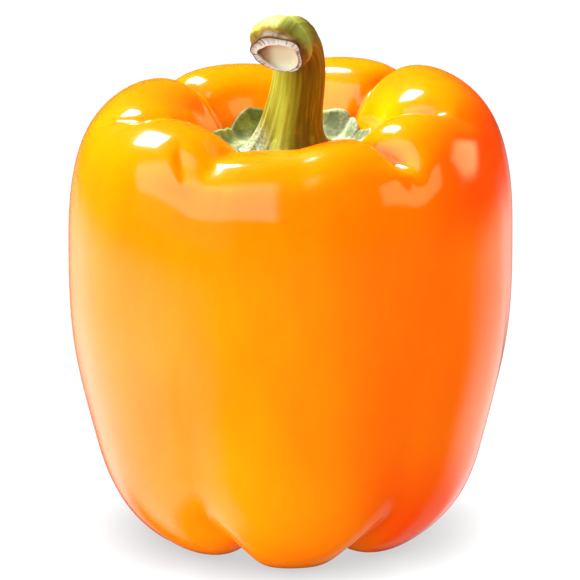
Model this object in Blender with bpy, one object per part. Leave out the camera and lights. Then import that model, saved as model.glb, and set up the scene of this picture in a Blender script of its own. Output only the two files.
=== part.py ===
"""An orange bell pepper as picked: a four-lobed fruit standing on its lobes, the green calyx
in its stalk hollow, and the hooked stem above it, cut off at its end.

Metres, +Z up. The origin is on the surface that the pepper stands on, under the middle of
its outline. The side that shows the cut end of the stem faces -Y. Azimuths are in degrees,
0 at the front (-Y) and growing towards +X.
"""

import math

import bmesh
import bpy
import numpy as np

MM = 0.001

# Driving dimensions of the fruit, in millimetres.
WAIST_RADIUS = 42.2
WAIST_HEIGHT = 57.0
CREST_RADIUS = 26.2
CREST_HEIGHT = 86.9
FOOT_RADIUS = 21.5
FOOT_SQUASH = 0.6
BLOSSOM_DIMPLE = 7.0
SEAT_RADIUS = 12.0
SEAT_HEIGHT = 73.6

# Driving dimensions of the calyx, in millimetres.
CALYX_GAP = 0.3
HUB_RADIUS = 9.8
HUB_HEIGHT = 75.6
SEPAL_NOTCH_RADIUS = 14.3
SEPAL_TIP_RADIUS = 16.0
SEPAL_THICKNESS = 1.5
SEPAL_THINNING = 0.25
HUB_LEAST_THICKNESS = 0.9
SEPAL_EDGE = 0.35

# Driving dimensions of the stem, in millimetres.
STEM_GAP = 0.3
STEM_RADIUS = 4.8
# How much wider the stem is at its foot, and over which length that dies away.
STEM_FLARES = ((2.9, 2.0), (1.9, 7.0))
RIB_COUNT = 5
RIB_RISE = 0.06
RIB_FADE = 0.6
RIB_TURN = 0.4
STEM_FOOT = (0.1, 0.5)
HOOK_START = (1.9, 1.5, 92.3)
HOOK_RADIUS = 6.0
HOOK_TURN = 120.0
HOOK_AZIMUTH = -26.0
HOOK_STRAIGHT = 1.75
# The knob at the end: how much it swells, how far its fullest ring lies before the cut, over
# which length it dies away towards the cut and behind, and which share of it is missing on
# the inner side of the hook.
KNOB_RISE = 1.55
KNOB_BACK = 3.1
KNOB_REACH = 4.4
KNOB_REACH_BEHIND = 2.3
KNOB_UNDERCUT = 0.8

# The cut end of the stem: where its middle lies off the stem's middle line, its edge round that
# middle as (angle, radius), and the length over which the stem changes from round to this edge.
CUT_MIDDLE = (0.6, -1.1)
CUT_EDGE = (
    (-175.0, 5.5), (-147.0, 4.5), (-111.0, 4.6), (-86.0, 4.5), (-63.0, 4.8), (-49.0, 5.8),
    (-35.0, 6.6), (-11.0, 5.3), (19.0, 5.3), (48.0, 5.2), (76.0, 4.6), (113.0, 4.7), (152.0, 5.4),
)
CUT_EDGE_SMOOTHING = 8.0
CUT_LENGTH = 2.2

# The cut face from the edge in to the sunken pith: (share of the edge's radius, height off the
# stem's last ring), and the height of the pith's middle.
CUT_FACE = ((0.97, 0.45), (0.9, 0.7), (0.8, 0.6), (0.74, 0.85), (0.68, 0.75), (0.6, 0.1), (0.3, -0.3))
PITH_HEIGHT = -0.4

# How finely the faceted solids follow the curves, and how far the fruit's rings gather where
# its outline bends, from 0, even steps, to 1, even turns.
FRUIT_SIDES = 96
FRUIT_RINGS = 44
FRUIT_GATHER = 0.4
CALYX_SIDES = 72
CALYX_RINGS = 7
STEM_SIDES = 30
SHAFT_RINGS = 10
HOOK_RINGS = 13
END_RINGS = 3

# How many points the smooth outline is drawn with before its rings are picked from it, and
# how many are looked along for the height of the stalk hollow's wall.
DRAWN_POINTS = 2000
WALL_POINTS = 400

# The fruit's outline through the top of a lobe, from the blossom end, under the foot,
# up the side and over the shoulder to the seat of the calyx: (station, radius, height).
LOBE_OUTLINE = (
    ("blossom end", 0.0, BLOSSOM_DIMPLE),
    ("underside", 9.5, BLOSSOM_DIMPLE - 2.5),
    ("foot", FOOT_RADIUS, -FOOT_SQUASH),
    ("heel", 31.1, 5.3),
    ("low flank", 37.7, 21.0),
    ("flank", 41.5, 39.5),
    ("waist", WAIST_RADIUS, WAIST_HEIGHT),
    ("high flank", 41.0, 72.4),
    ("shoulder", 37.8, 80.7),
    ("brow", 32.9, 85.3),
    ("crest", CREST_RADIUS, CREST_HEIGHT),
    ("lip", 20.4, 84.4),
    ("wall", 16.2, 78.0),
    ("seat rim", SEAT_RADIUS, SEAT_HEIGHT + 0.6),
    ("seat", 0.0, SEAT_HEIGHT),
)

# The grooves between and along the lobes: azimuths and widths in degrees at the crest and at the
# foot, and depth in millimetres at each of the groove stations. The roundings say how soft a
# groove's bottom is at each station, as a share of its width.
GROOVE_STATIONS = (
    "foot", "heel", "low flank", "waist", "high flank", "shoulder", "brow", "crest", "wall",
)
GROOVE_ROUNDINGS = (0.25, 0.35, 0.7, 0.8, 0.6, 0.3, 0.25, 0.2, 0.3)
GROOVES = (
    {"azimuths": (-27.0, -29.0), "widths": (8.5, 7.0), "depths": (4.2, 3.2, 0.9, 0.3, 0.3, 0.9, 1.8, 2.8, 1.0)},
    {"azimuths": (-69.0, -80.0), "widths": (5.5, 7.0), "depths": (0.3, 0.3, 0.2, 0.2, 0.1, 0.2, 0.6, 1.4, 1.2)},
    {"azimuths": (-131.0, -128.0), "widths": (5.5, 7.0), "depths": (4.2, 3.4, 1.2, 0.8, 1.4, 3.2, 3.9, 3.7, 1.4)},
    {"azimuths": (180.0, 180.0), "widths": (11.0, 11.0), "depths": (0.3, 0.3, 0.3, 0.4, 0.6, 1.6, 2.1, 2.4, 0.8)},
    {"azimuths": (134.0, 132.0), "widths": (5.0, 7.0), "depths": (4.2, 3.4, 1.2, 0.8, 1.4, 3.6, 4.4, 4.2, 1.4)},
    {"azimuths": (74.0, 90.0), "widths": (5.0, 8.0), "depths": (0.8, 0.8, 0.6, 0.6, 0.3, 0.1, 1.0, 3.6, 2.4)},
    {"azimuths": (38.0, 35.0), "widths": (5.0, 8.0), "depths": (3.8, 3.0, 0.9, 0.3, 0.2, 0.9, 2.8, 3.8, 1.4)},
    {"azimuths": (4.0, 6.0), "widths": (12.0, 12.0), "depths": (0.0, 0.1, 0.3, 0.3, 0.3, 0.5, 0.7, 0.8, 0.4)},
)

# Near the foot the front grooves draw together: by which share of their azimuth, below which
# height, by which share their outer side is wider and their inner side narrower there, and how far
# round from the front a groove still counts as one of them.
FOOT_CURL = 0.3
FOOT_CURL_HEIGHT = 11.0
FOOT_SPLAY = 0.45
FRONT_HALF = 90.0

# How far each lobe stands above the common outline at its crest, and out at its flank, how far
# its foot is tucked in, the angle over which one lobe gives way to the next, and the heights
# where the rise starts and where the tuck ends.
LOBES = (
    {"azimuth": -10.0, "rise": -3.6, "bulge": -0.4, "tuck": 0.0},
    {"azimuth": 23.0, "rise": -1.6, "bulge": -0.3, "tuck": 0.0},
    {"azimuth": 58.0, "rise": 0.3, "bulge": 0.4, "tuck": 0.4},
    {"azimuth": 108.0, "rise": 2.1, "bulge": 0.5, "tuck": 0.0},
    {"azimuth": 157.0, "rise": 0.0, "bulge": 0.2, "tuck": 0.2},
    {"azimuth": -157.0, "rise": -1.4, "bulge": 0.0, "tuck": 0.2},
    {"azimuth": -104.0, "rise": -0.2, "bulge": 0.0, "tuck": 0.0},
    {"azimuth": -48.0, "rise": -0.6, "bulge": 0.1, "tuck": 0.3},
)
LOBE_SPREAD = 22.0
RISE_START_HEIGHT = 40.0
TUCK_HEIGHT = 18.0

# The sepals: azimuth of each tip, reach beyond the common tip radius, and how far the edge
# lifts off the fruit.
SEPALS = (
    {"azimuth": -150.0, "reach": -0.2, "lift": 2.0},
    {"azimuth": -92.0, "reach": -1.2, "lift": 1.5},
    {"azimuth": -36.0, "reach": -0.9, "lift": 1.4},
    {"azimuth": 30.0, "reach": -1.0, "lift": 1.4},
    {"azimuth": 92.0, "reach": -0.5, "lift": 1.2},
    {"azimuth": 136.0, "reach": 0.3, "lift": 1.9},
)
SEPAL_POINT = 1.1
NOTCH_LIFT = 0.65

FRUIT_COLOUR = (1.0, 0.30, 0.01)
CALYX_COLOUR = (0.42, 0.50, 0.27)
STEM_COLOUR = (0.38, 0.34, 0.05)


def clear_scene():
    for obj in list(bpy.data.objects):
        bpy.data.objects.remove(obj, do_unlink=True)


def plain_material(name, colour, roughness):
    """A Principled material of one colour, not metallic."""
    material = bpy.data.materials.new(name)
    material.use_nodes = True
    shader = material.node_tree.nodes["Principled BSDF"]
    shader.inputs["Base Color"].default_value = (*colour, 1.0)
    shader.inputs["Roughness"].default_value = roughness
    shader.inputs["Metallic"].default_value = 0.0
    return material


def eased(t):
    """A change from 0 to 1 that starts and ends level."""
    t = np.clip(t, 0.0, 1.0)
    return t * t * (3 - 2 * t)


def turned(angle):
    """An azimuth difference in degrees, brought between -180 and 180."""
    return (angle + 180.0) % 360.0 - 180.0


def unit(vectors):
    return vectors / np.linalg.norm(vectors, axis=-1, keepdims=True)


def run_along(points):
    """The distance run along a drawn line, up to each of its points."""
    return np.concatenate([[0.0], np.cumsum(np.linalg.norm(np.diff(points, axis=0), axis=1))])


def smooth_curve(points, places):
    """The cubic spline through the points, read at places from 0 to 1 along it.

    Each span is a cubic whose slope and bend join up with the next span's. Both ends run
    level, because the outline crosses the fruit's axis there.
    """
    knots = run_along(points)
    steps = np.diff(knots)
    size = len(points)
    system = np.eye(size)
    right = np.zeros((size, 2))
    right[0], right[-1] = (1.0, 0.0), (-1.0, 0.0)
    for i in range(1, size - 1):
        before, after = steps[i - 1], steps[i]
        system[i, i - 1 : i + 2] = after, 2 * (before + after), before
        rise_before = (points[i] - points[i - 1]) / before
        rise_after = (points[i + 1] - points[i]) / after
        right[i] = 3 * (after * rise_before + before * rise_after)
    slopes = np.linalg.solve(system, right)
    along = places * knots[-1]
    span = np.clip(np.searchsorted(knots, along, side="right") - 1, 0, size - 2)
    step = steps[span][:, None]
    t = (along - knots[span])[:, None] / step
    return (
        points[span] * (2 * t**3 - 3 * t**2 + 1)
        + slopes[span] * step * (t**3 - 2 * t**2 + t)
        + points[span + 1] * (3 * t**2 - 2 * t**3)
        + slopes[span + 1] * step * (t**3 - t**2)
    )


def lobe_outline(rings):
    """The common outline as rings points, closer together where it bends."""
    corners = np.array([point[1:] for point in LOBE_OUTLINE])
    drawn = smooth_curve(corners, np.linspace(0.0, 1.0, DRAWN_POINTS))
    run = run_along(drawn)
    heading = np.unwrap(np.arctan2(*np.gradient(drawn, axis=0).T))
    turn = np.concatenate([[0.0], np.cumsum(np.abs(np.diff(heading)))])
    measure = (1 - FRUIT_GATHER) * run / run[-1] + FRUIT_GATHER * turn / turn[-1]
    order = np.arange(DRAWN_POINTS)
    at = np.interp(np.linspace(0.0, 1.0, rings), measure, order)
    return np.stack([np.interp(at, order, drawn[:, k]) for k in (0, 1)], axis=1)


def by_station(outline, values, ends):
    """Values given at the groove stations, spread along the outline with an eased change from
    each station to the next. The two poles have the value ends."""
    places = {name: (radius, height) for name, radius, height in LOBE_OUTLINE}
    stations = [np.argmin(np.linalg.norm(outline - places[name], axis=1)) for name in GROOVE_STATIONS]
    run = run_along(outline)
    knots = run[[0, *stations, -1]]
    values = np.array((ends, *values, ends))
    span = np.clip(np.searchsorted(knots, run, side="right") - 1, 0, len(knots) - 2)
    share = eased((run - knots[span]) / (knots[span + 1] - knots[span]))
    return values[span] + share * (values[span + 1] - values[span])


def lobe_value(azimuth, key):
    """A lobe's value at any azimuth: the lobes' own values, blended round the fruit."""
    weights = [np.exp(-((turned(azimuth - lobe["azimuth"]) / LOBE_SPREAD) ** 2)) for lobe in LOBES]
    return sum(weight * lobe[key] for weight, lobe in zip(weights, LOBES)) / sum(weights)


def valley(across, rounding):
    """A groove's cross-section: 1 in its middle, dying away on both sides, with its bottom
    rounded."""
    return np.exp(rounding - np.sqrt(across**2 + rounding**2))


def fruit_meridians(azimuths, rings):
    """The fruit's outline at each azimuth, as radius and height arrays of shape
    (azimuths, rings), from the blossom end to the middle of the calyx's seat.

    The common outline is lifted and pushed out by the lobes, then each groove presses it
    inwards along its normal. The feet are flattened where they meet the ground.
    """
    outline = lobe_outline(rings)
    radius, height = outline.T
    along = unit(np.gradient(outline, axis=0))
    crest, rise_start = np.argmax(height), RISE_START_HEIGHT
    up_share = eased((height - rise_start) / (CREST_HEIGHT - rise_start))
    off_seat = eased((radius - SEAT_RADIUS) / (CREST_RADIUS - SEAT_RADIUS))
    rise_share = np.where(np.arange(rings) > crest, off_seat, up_share)
    down_share = np.clip(1.0 - height / CREST_HEIGHT, 0.0, 1.0)
    under = eased(1.0 - height / FOOT_CURL_HEIGHT)
    azimuths = np.asarray(azimuths, float)[:, None]
    pressed = np.zeros((len(azimuths), rings))
    rounding = by_station(outline, GROOVE_ROUNDINGS, GROOVE_ROUNDINGS[-1])
    for groove in GROOVES:
        middle, width = (
            top + (bottom - top) * down_share for top, bottom in (groove["azimuths"], groove["widths"])
        )
        if abs(groove["azimuths"][0]) < FRONT_HALF:
            middle = middle * (1.0 - FOOT_CURL * under)
            outer = np.sign(turned(azimuths - middle) * middle)
            width = width * (1.0 + FOOT_SPLAY * under * outer)
        across = turned(azimuths - middle) / width
        pressed += by_station(outline, groove["depths"], 0.0) * valley(across, rounding)
    low_share = eased(1.0 - height / TUCK_HEIGHT) * np.minimum(radius / FOOT_RADIUS, 1.0)
    push = lobe_value(azimuths, "bulge") * (radius / WAIST_RADIUS) ** 2
    push = push - lobe_value(azimuths, "tuck") * low_share
    lift = lobe_value(azimuths, "rise") * rise_share
    new_radius = radius - along[:, 1] * pressed + push
    new_height = height + along[:, 0] * pressed + lift
    return np.maximum(new_radius, 0.0), np.maximum(new_height, 0.0)


def around(azimuths, radius, height):
    """Points in metres from azimuths in degrees and radii and heights in millimetres."""
    turn = np.radians(azimuths)
    height = np.broadcast_to(height, np.shape(turn))
    return np.stack([radius * np.sin(turn), -radius * np.cos(turn), height], axis=-1) * MM


def even_turns(count):
    return np.arange(count) * 360.0 / count


def closed_object(name, rings, first_pole, last_pole, material):
    """One closed object from rings of points, each joined to the next, with its two ends
    closed onto a point."""
    bm = bmesh.new()
    loops = [[bm.verts.new(point) for point in ring] for ring in rings]
    sides = len(loops[0])
    for lower, upper in zip(loops, loops[1:]):
        for i in range(sides):
            j = (i + 1) % sides
            bm.faces.new((lower[i], lower[j], upper[j], upper[i]))
    for loop, pole in ((loops[0], first_pole), (loops[-1], last_pole)):
        middle = bm.verts.new(pole)
        for i in range(sides):
            bm.faces.new((loop[i], loop[(i + 1) % sides], middle))
    bmesh.ops.recalc_face_normals(bm, faces=bm.faces)
    mesh = bpy.data.meshes.new(name)
    bm.to_mesh(mesh)
    bm.free()
    mesh.shade_smooth()
    mesh.materials.append(material)
    obj = bpy.data.objects.new(name, mesh)
    bpy.context.scene.collection.objects.link(obj)
    return obj


def make_fruit():
    """The fleshy fruit, one solid: its inside isn't seen."""
    azimuths = even_turns(FRUIT_SIDES)
    radius, height = fruit_meridians(azimuths, FRUIT_RINGS)
    rings = [around(azimuths, radius[:, i], height[:, i]) for i in range(1, FRUIT_RINGS - 1)]
    poles = [(0.0, 0.0, height[0, i] * MM) for i in (0, -1)]
    return closed_object("fruit", rings, *poles, plain_material("fruit", FRUIT_COLOUR, 0.2))


def hollow_height(azimuths, radii):
    """The height of the stalk hollow's wall at each azimuth and radius."""
    radius, height = fruit_meridians(azimuths, WALL_POINTS)
    found = np.empty(radii.shape)
    for i in range(len(azimuths)):
        crest = np.argmax(height[i])
        found[i] = np.interp(radii[i], radius[i, crest:][::-1], height[i, crest:][::-1])
    return found


def sepal_outline(azimuths):
    """The calyx's outer radius and the lift of its edge at each azimuth.

    Between two neighbouring tips the edge falls back to the notch half-way between them, in
    curves that come to a point at each tip.
    """
    tips = np.array([sepal["azimuth"] for sepal in SEPALS])
    away = turned(azimuths[:, None] - tips)
    nearest = np.argmin(np.abs(away), axis=1)
    offset = away[np.arange(len(azimuths)), nearest]
    spacing = turned(tips[:, None] - tips)
    ahead = np.where(spacing > 0, spacing, 360.0).min(axis=0)
    behind = np.where(spacing < 0, -spacing, 360.0).min(axis=0)
    half = np.where(offset > 0, ahead[nearest], behind[nearest]) / 2
    share = np.clip(1.0 - np.abs(offset) / half, 0.0, 1.0) ** SEPAL_POINT
    reach = np.array([sepal["reach"] for sepal in SEPALS])[nearest]
    lift = np.array([sepal["lift"] for sepal in SEPALS])[nearest]
    outer = SEPAL_NOTCH_RADIUS + (SEPAL_TIP_RADIUS + reach - SEPAL_NOTCH_RADIUS) * share
    return outer, lift * (NOTCH_LIFT + (1.0 - NOTCH_LIFT) * share)


def make_calyx():
    """The calyx: a flat hub under the stem, and sepals that follow the hollow's wall and
    lift off it towards their edge."""
    azimuths = even_turns(CALYX_SIDES)
    outer, lift = (values[:, None] for values in sepal_outline(azimuths))
    shares = np.linspace(0.0, 1.0, CALYX_RINGS + 1)[1:]
    radii = outer * shares
    under = hollow_height(azimuths, radii) + CALYX_GAP + lift * shares**3
    draped = under + SEPAL_THICKNESS * (1.0 - SEPAL_THINNING * shares)
    off_hub = eased((radii - HUB_RADIUS) / (outer - HUB_RADIUS))
    top = np.maximum(HUB_HEIGHT + (draped - HUB_HEIGHT) * off_hub, under + HUB_LEAST_THICKNESS)
    rings = [around(azimuths, radii[:, i], under[:, i]) for i in range(CALYX_RINGS)]
    rings.append(around(azimuths, outer[:, 0] + SEPAL_EDGE, (under[:, -1] + top[:, -1]) / 2))
    rings += [around(azimuths, radii[:, i], top[:, i]) for i in reversed(range(CALYX_RINGS))]
    first, last = ((0.0, 0.0, height * MM) for height in (SEAT_HEIGHT + CALYX_GAP, HUB_HEIGHT))
    return closed_object("calyx", rings, first, last, plain_material("calyx", CALYX_COLOUR, 0.75))


def stem_line():
    """The stem's middle line and its direction, as two arrays: a shaft that leans over
    evenly, the hook's arc, and a short straight end."""
    bend = np.array(HOOK_START)
    foot = np.array([*STEM_FOOT, HUB_HEIGHT + STEM_GAP])
    t = np.linspace(0.0, 1.0, SHAFT_RINGS, endpoint=False)[:, None]
    lean = np.array([1.0, 1.0, 0.0])
    shaft = foot + (bend - foot) * (lean * eased(t) + (1 - lean) * t)
    shaft_way = (bend - foot) * (lean * 6 * t * (1 - t) + (1 - lean))
    azimuth = math.radians(HOOK_AZIMUTH)
    over = np.array([math.sin(azimuth), -math.cos(azimuth), 0.0])
    up = np.array([0.0, 0.0, 1.0])
    turn = np.radians(np.linspace(0.0, HOOK_TURN, HOOK_RINGS))[:, None]
    hook = bend + HOOK_RADIUS * (over * (1 - np.cos(turn)) + up * np.sin(turn))
    hook_way = over * np.sin(turn) + up * np.cos(turn)
    steps = np.linspace(0.0, HOOK_STRAIGHT, END_RINGS + 1)[1:, None]
    end = hook[-1] + hook_way[-1] * steps
    end_way = np.repeat(hook_way[-1:], END_RINGS, axis=0)
    return np.concatenate([shaft, hook, end]), unit(np.concatenate([shaft_way, hook_way, end_way]))


def closed_radius(stations, angles):
    """A smooth radius round a full turn through (angle, radius) stations: straight lines
    between them, smoothed with a bell."""
    at, values = np.array(stations).T
    order = np.argsort(at)
    fine = np.arange(-180.0, 180.0)
    radius = np.interp(fine, at[order], values[order], period=360.0)
    bell = np.exp(-((turned(fine[:, None] - fine) / CUT_EDGE_SMOOTHING) ** 2))
    return np.interp(turned(angles), fine, bell @ radius / bell.sum(axis=1), period=360.0)


def stem_radius(run, length, turn):
    """The stem's radius at a distance along it and at the angles turn round it: a flared
    foot, a shaft, ribs that fade on the way, and the knob before the cut."""
    flare = sum(extra * np.exp(-run / reach) for extra, reach in STEM_FLARES)
    rib = 1.0 + RIB_RISE * (1.0 - RIB_FADE * run / length) * np.cos(RIB_COUNT * turn + RIB_TURN)
    before = length - run - KNOB_BACK
    reach = KNOB_REACH_BEHIND if before > 0 else KNOB_REACH
    knob = KNOB_RISE * eased(1.0 - abs(before) / reach)
    inner_side = np.clip(np.sin(turn), 0.0, 1.0) ** 2
    return (STEM_RADIUS + flare) * rib + knob * (1.0 - KNOB_UNDERCUT * inner_side)


def make_stem():
    """The stem: a ribbed shaft that hooks over, swells to a knob, and ends in a cut face round
    the sunken pith."""
    points, ways = stem_line()
    azimuth = math.radians(HOOK_AZIMUTH)
    side = np.array([math.cos(azimuth), math.sin(azimuth), 0.0])
    side = unit(side - ways * (ways @ side)[:, None])
    across = np.cross(side, ways)
    angles = even_turns(STEM_SIDES)
    turn = np.radians(angles)

    def ring(i, radius, ahead, off):
        middle = points[i] + ways[i] * ahead + side[i] * off[0] + across[i] * off[1]
        spokes = side[i] * np.cos(turn)[:, None] + across[i] * np.sin(turn)[:, None]
        return (middle + radius[:, None] * spokes) * MM

    run = run_along(points)
    cut_edge, cut_middle = closed_radius(CUT_EDGE, angles), np.array(CUT_MIDDLE)
    rings = []
    for i in range(len(points)):
        share = eased(1.0 - (run[-1] - run[i]) / CUT_LENGTH)
        whole = stem_radius(run[i], run[-1], turn)
        rings.append(ring(i, whole + (cut_edge - whole) * share, 0.0, cut_middle * share))
    rings += [ring(-1, cut_edge * share, ahead, cut_middle) for share, ahead in CUT_FACE]
    off = side[-1] * cut_middle[0] + across[-1] * cut_middle[1]
    last = (points[-1] + ways[-1] * PITH_HEIGHT + off) * MM
    return closed_object("stem", rings, points[0] * MM, last, plain_material("stem", STEM_COLOUR, 0.5))


def stand_over_origin(fruit, pieces):
    """Hang all pieces on one empty, moved so that the origin is under the fruit's middle."""
    corners = np.array([vertex.co[:2] for vertex in fruit.data.vertices])
    middle = (corners.min(axis=0) + corners.max(axis=0)) / 2
    pepper = bpy.data.objects.new("pepper", None)
    bpy.context.scene.collection.objects.link(pepper)
    pepper.location = (-middle[0], -middle[1], 0.0)
    for piece in pieces:
        piece.parent = pepper


def main():
    clear_scene()
    fruit = make_fruit()
    stand_over_origin(fruit, (fruit, make_calyx(), make_stem()))


main()
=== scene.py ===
# %% [markdown]
# # An orange bell pepper
#
# A glossy orange pepper stands on its lobes under soft studio light. It is made of three pieces:
# the fleshy fruit, the green calyx in its stalk hollow, and the hooked stem with its cut end.
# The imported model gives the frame: where each piece is and how big it is. This script
# draws each piece again, much finer, from the same outlines, and gives it its finish.
# Azimuths are in degrees, 0 at the front (-Y) and growing towards the right (+X). Shapes are worked
# out in millimetres and put into the meshes in metres.

# %% Load the frame
import math

import bpy
import numpy as np
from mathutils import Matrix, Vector


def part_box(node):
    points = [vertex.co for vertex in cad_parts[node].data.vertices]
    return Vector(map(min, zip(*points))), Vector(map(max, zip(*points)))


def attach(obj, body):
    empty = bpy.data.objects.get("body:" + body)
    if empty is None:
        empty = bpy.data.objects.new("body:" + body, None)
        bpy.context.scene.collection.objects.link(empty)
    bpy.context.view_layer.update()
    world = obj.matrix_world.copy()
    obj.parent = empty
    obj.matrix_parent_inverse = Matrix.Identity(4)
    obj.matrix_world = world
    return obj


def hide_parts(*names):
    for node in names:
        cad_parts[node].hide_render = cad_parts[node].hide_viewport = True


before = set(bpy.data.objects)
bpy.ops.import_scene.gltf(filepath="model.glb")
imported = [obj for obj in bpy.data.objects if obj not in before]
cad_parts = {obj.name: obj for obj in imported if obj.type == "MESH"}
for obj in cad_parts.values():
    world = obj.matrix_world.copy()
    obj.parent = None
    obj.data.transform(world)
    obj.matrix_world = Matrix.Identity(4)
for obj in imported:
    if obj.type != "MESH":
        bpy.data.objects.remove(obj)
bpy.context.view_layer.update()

scene = bpy.context.scene
MM = 0.001
print("nodes:", sorted(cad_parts))

# %% [markdown]
# ## The camera
#
# The photograph was taken from some way off with a long lens, looking down on the pepper a little:
# the rim of the stalk hollow shows as a flat ellipse. A camera can be placed by numbers or turned by
# a constraint. Numbers are enough here: it looks along one direction at one point, and the lens
# follows from how many pixels of the picture a millimetre takes up.

# %% Aim the camera
PICTURE_SIDE = 580
PIXELS_PER_MM = 5.24
CAMERA_ELEVATION = 18.0
CAMERA_DISTANCE = 1.5
CAMERA_AIM = Vector((-0.0001, 0.0, 0.0478))
SENSOR_MM = 36.0


def towards(azimuth, elevation):
    """The unit vector that points away from the pepper at an azimuth and an elevation."""
    a, e = math.radians(azimuth), math.radians(elevation)
    return Vector((math.sin(a) * math.cos(e), -math.cos(a) * math.cos(e), math.sin(e)))


def place(name, data, where, aim):
    """A new object at a point, with its -Z axis turned to another point."""
    thing = bpy.data.objects.new(name, data)
    thing.location = where
    thing.rotation_euler = (aim - where).to_track_quat("-Z", "Y").to_euler()
    scene.collection.objects.link(thing)
    return thing


lens = bpy.data.cameras.new("camera")
lens.sensor_width = SENSOR_MM
lens.lens = SENSOR_MM * CAMERA_DISTANCE / (PICTURE_SIDE / PIXELS_PER_MM * MM)
lens.clip_end = 20.0
scene.camera = place(
    "camera", lens, CAMERA_AIM + towards(0.0, CAMERA_ELEVATION) * CAMERA_DISTANCE, CAMERA_AIM
)
print("lens in mm:", round(lens.lens, 1))

# %% [markdown]
# ## Tools for smooth shapes
#
# A pepper has no straight line and no sharp edge, so every shape here is a formula on whole numpy
# arrays: a value that eases from 0 to 1, a smooth curve through a few drawn points, and a
# soft valley. They are the same formulas as in the solid part, so the fine shapes fit its frame.


# %% Shape tools
def eased(t):
    """3 t^2 - 2 t^3, held at 0 below 0 and at 1 above 1: a change that starts and ends level."""
    t = np.clip(t, 0.0, 1.0)
    return t * t * (3 - 2 * t)


def turned(angle):
    """The angle in degrees, less whole turns, so that it lies between -180 and 180."""
    return (angle + 180.0) % 360.0 - 180.0


def unit(vectors):
    """Each vector divided by its own length."""
    return vectors / np.linalg.norm(vectors, axis=-1, keepdims=True)


def run_along(points):
    """The distance run along a line of points: the sum of the steps up to each point."""
    return np.concatenate([[0.0], np.cumsum(np.linalg.norm(np.diff(points, axis=0), axis=1))])


def even_turns(count):
    """count azimuths at even steps round a full turn."""
    return np.arange(count) * 360.0 / count


def around(azimuths, radius, height):
    """Points (radius sin a, -radius cos a, height) for azimuths a in degrees."""
    turn = np.radians(azimuths)
    parts = np.broadcast_arrays(radius * np.sin(turn), -radius * np.cos(turn), height)
    return np.stack(parts, axis=-1)


def smooth_curve(points, places):
    """The cubic spline through the points, read at places from 0 to 1 along it.

    In each span the curve is a cubic of its two ends and their slopes. The slopes solve one
    linear system that says that the bend doesn't jump from span to span. Both ends run level.
    """
    knots = run_along(points)
    steps = np.diff(knots)
    size = len(points)
    system = np.eye(size)
    right = np.zeros((size, 2))
    right[0], right[-1] = (1.0, 0.0), (-1.0, 0.0)
    for i in range(1, size - 1):
        before, after = steps[i - 1], steps[i]
        system[i, i - 1 : i + 2] = after, 2 * (before + after), before
        rise_before = (points[i] - points[i - 1]) / before
        rise_after = (points[i + 1] - points[i]) / after
        right[i] = 3 * (after * rise_before + before * rise_after)
    slopes = np.linalg.solve(system, right)
    along = places * knots[-1]
    span = np.clip(np.searchsorted(knots, along, side="right") - 1, 0, size - 2)
    step = steps[span][:, None]
    t = (along - knots[span])[:, None] / step
    return (
        points[span] * (2 * t**3 - 3 * t**2 + 1)
        + slopes[span] * step * (t**3 - 2 * t**2 + t)
        + points[span + 1] * (3 * t**2 - 2 * t**3)
        + slopes[span + 1] * step * (t**3 - t**2)
    )


def ripple(seed, *coordinates, waves=6, finest=3.0):
    """A smooth random wave: the mean of sines whose directions and phases are drawn from a
    seeded generator, and whose frequencies run from 1 to finest. It lies between -1 and 1."""
    draw = np.random.default_rng(seed)
    total = 0.0
    for frequency in np.linspace(1.0, finest, waves):
        way = draw.normal(size=len(coordinates))
        way *= frequency / np.linalg.norm(way)
        phase = draw.uniform(0.0, 2 * math.pi)
        total = total + np.sin(sum(w * c for w, c in zip(way, coordinates)) + phase)
    return total / waves


print("a quarter of the way, eased:", eased(0.25))


# %% [markdown]
# A closed surface is a grid of points, ring after ring, with each end closed onto one point. The
# faces are worked out as arrays of point numbers too, and all of them turn the same way, so that the
# surface faces outwards. Values that a finish needs, such as how deep a point lies in
# a groove, are kept with the points as attributes.


# %% Closed grid
def closed_grid(name, rings, poles, **values):
    """A closed smooth mesh from rings of points in mm, shaped (rings, sides, 3), and two poles.

    The quad at (i, j) joins points (i, j), (i, j + 1), (i + 1, j + 1) and (i + 1, j), and the
    end rings are closed with triangles. Each value is an array shaped (rings, sides), or
    (rings, sides, 3), and its end rings' means stand for the poles.
    """
    count, sides = rings.shape[:2]
    index = np.arange(count * sides).reshape(count, sides)
    after = np.roll(index, -1, axis=1)
    quads = np.stack([index[:-1], after[:-1], after[1:], index[1:]], axis=-1).reshape(-1, 4)
    first = np.stack([after[0], index[0], np.full(sides, count * sides)], axis=-1)
    last = np.stack([index[-1], after[-1], np.full(sides, count * sides + 1)], axis=-1)
    points = np.concatenate([rings.reshape(-1, 3), np.asarray(poles, float)]) * MM
    mesh = bpy.data.meshes.new(name)
    mesh.from_pydata(points.tolist(), [], [*quads.tolist(), *first.tolist(), *last.tolist()])
    for key, value in values.items():
        kind, field = ("FLOAT_VECTOR", "vector") if value.ndim == 3 else ("FLOAT", "value")
        flat = value.reshape(count * sides, -1)
        ends = [flat[:sides].mean(axis=0), flat[-sides:].mean(axis=0)]
        mesh.attributes.new(key, kind, "POINT").data.foreach_set(
            field, np.concatenate([flat, ends]).astype(np.float32).ravel()
        )
    mesh.shade_smooth()
    piece = bpy.data.objects.new(name, mesh)
    scene.collection.objects.link(piece)
    print(name, "has", len(mesh.polygons), "faces")
    return piece


# %% [markdown]
# ## The fruit
#
# A bell pepper grows as three or four chambers, whose walls bulge into lobes with grooves between
# them. It could be sculpted by hand, or a round body could be pushed about with modifiers. Here it
# is one outline turned about the stalk, because the lobes are that one outline, pushed out or
# pulled in as the azimuth changes. The outline runs from the blossom end underneath, out over the foot, up
# the flank, over the crest and down the wall of the stalk hollow to the seat of the calyx.

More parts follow.
